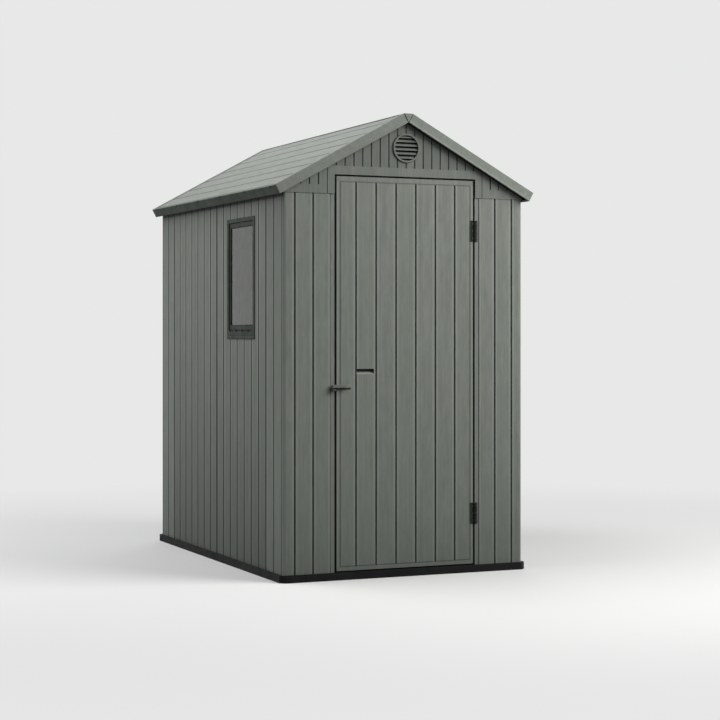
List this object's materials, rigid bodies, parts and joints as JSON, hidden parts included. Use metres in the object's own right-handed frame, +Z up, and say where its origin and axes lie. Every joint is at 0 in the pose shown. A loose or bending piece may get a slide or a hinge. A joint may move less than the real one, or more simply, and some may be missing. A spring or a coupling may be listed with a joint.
{
  "type": "garden shed",
  "caption": "Small gable-roofed garden shed of grooved moulded panels, with a hinged door, a round gable vent and a side window; hollow inside.",
  "frame": {"origin": "centre of the footprint, on the underside of the floor", "axes": "+Z up; the door faces -Y; +X is to the right when the door is faced"},
  "size_m": [1.258, 1.845, 2.057],
  "materials": {
    "wall_resin": "matt, fine upright wood grain",
    "door_resin": "matt, fine upright wood grain",
    "roof_resin": "matt, fine grain along the roof",
    "dark_resin": "matt, smooth",
    "black_resin": "matt, smooth",
    "pane": "clear, polished",
    "pin_steel": "dull, turned",
    "beam_steel": "satin paint"
  },
  "bodies": {
    "shed": {"corner_front_left": "wall_resin", "corner_front_right": "wall_resin", "corner_rear_left": "wall_resin", "corner_rear_right": "wall_resin", "panel_left_front": "wall_resin", "panel_left_rear": "wall_resin", "panel_right_front": "wall_resin", "panel_right_rear": "wall_resin", "panel_rear": "wall_resin", "jamb_left": "wall_resin", "jamb_right": "wall_resin", "head_stop": "wall_resin", "gable_front_left": "wall_resin", "gable_front_right": "wall_resin", "gable_rear_left": "wall_resin", "gable_rear_right": "wall_resin", "gable_vent": "wall_resin", "roof_panel_left": "roof_resin", "roof_panel_right": "roof_resin", "rake_trim_front_left": "roof_resin", "rake_trim_front_right": "roof_resin", "rake_trim_rear_left": "roof_resin", "rake_trim_rear_right": "roof_resin", "ridge_cap": "roof_resin", "eave_trim_left": "dark_resin", "eave_trim_right": "dark_resin", "window_frame": "dark_resin", "window_sash": "dark_resin", "window_sill": "dark_resin", "floor_front": "black_resin", "floor_rear": "black_resin", "hinge_upper_jamb_leaf": "dark_resin", "hinge_lower_jamb_leaf": "dark_resin", "hinge_upper_pin": "pin_steel", "hinge_lower_pin": "pin_steel", "ridge_beam": "beam_steel", "window_pane": "pane", "jamb_eye": "wall_resin"},
    "door": {"door_leaf": "door_resin", "door_eye": "door_resin", "hinge_upper_door_leaf": "dark_resin", "hinge_lower_door_leaf": "dark_resin"}
  },
  "joints": [
    {"name": "door_hinge", "type": "hinge", "parent": "shed", "child": "door", "pos_m": [0.339, -0.8945, 0], "axis": [0, 0, 1], "range_deg": [0, 110]}
  ]
}
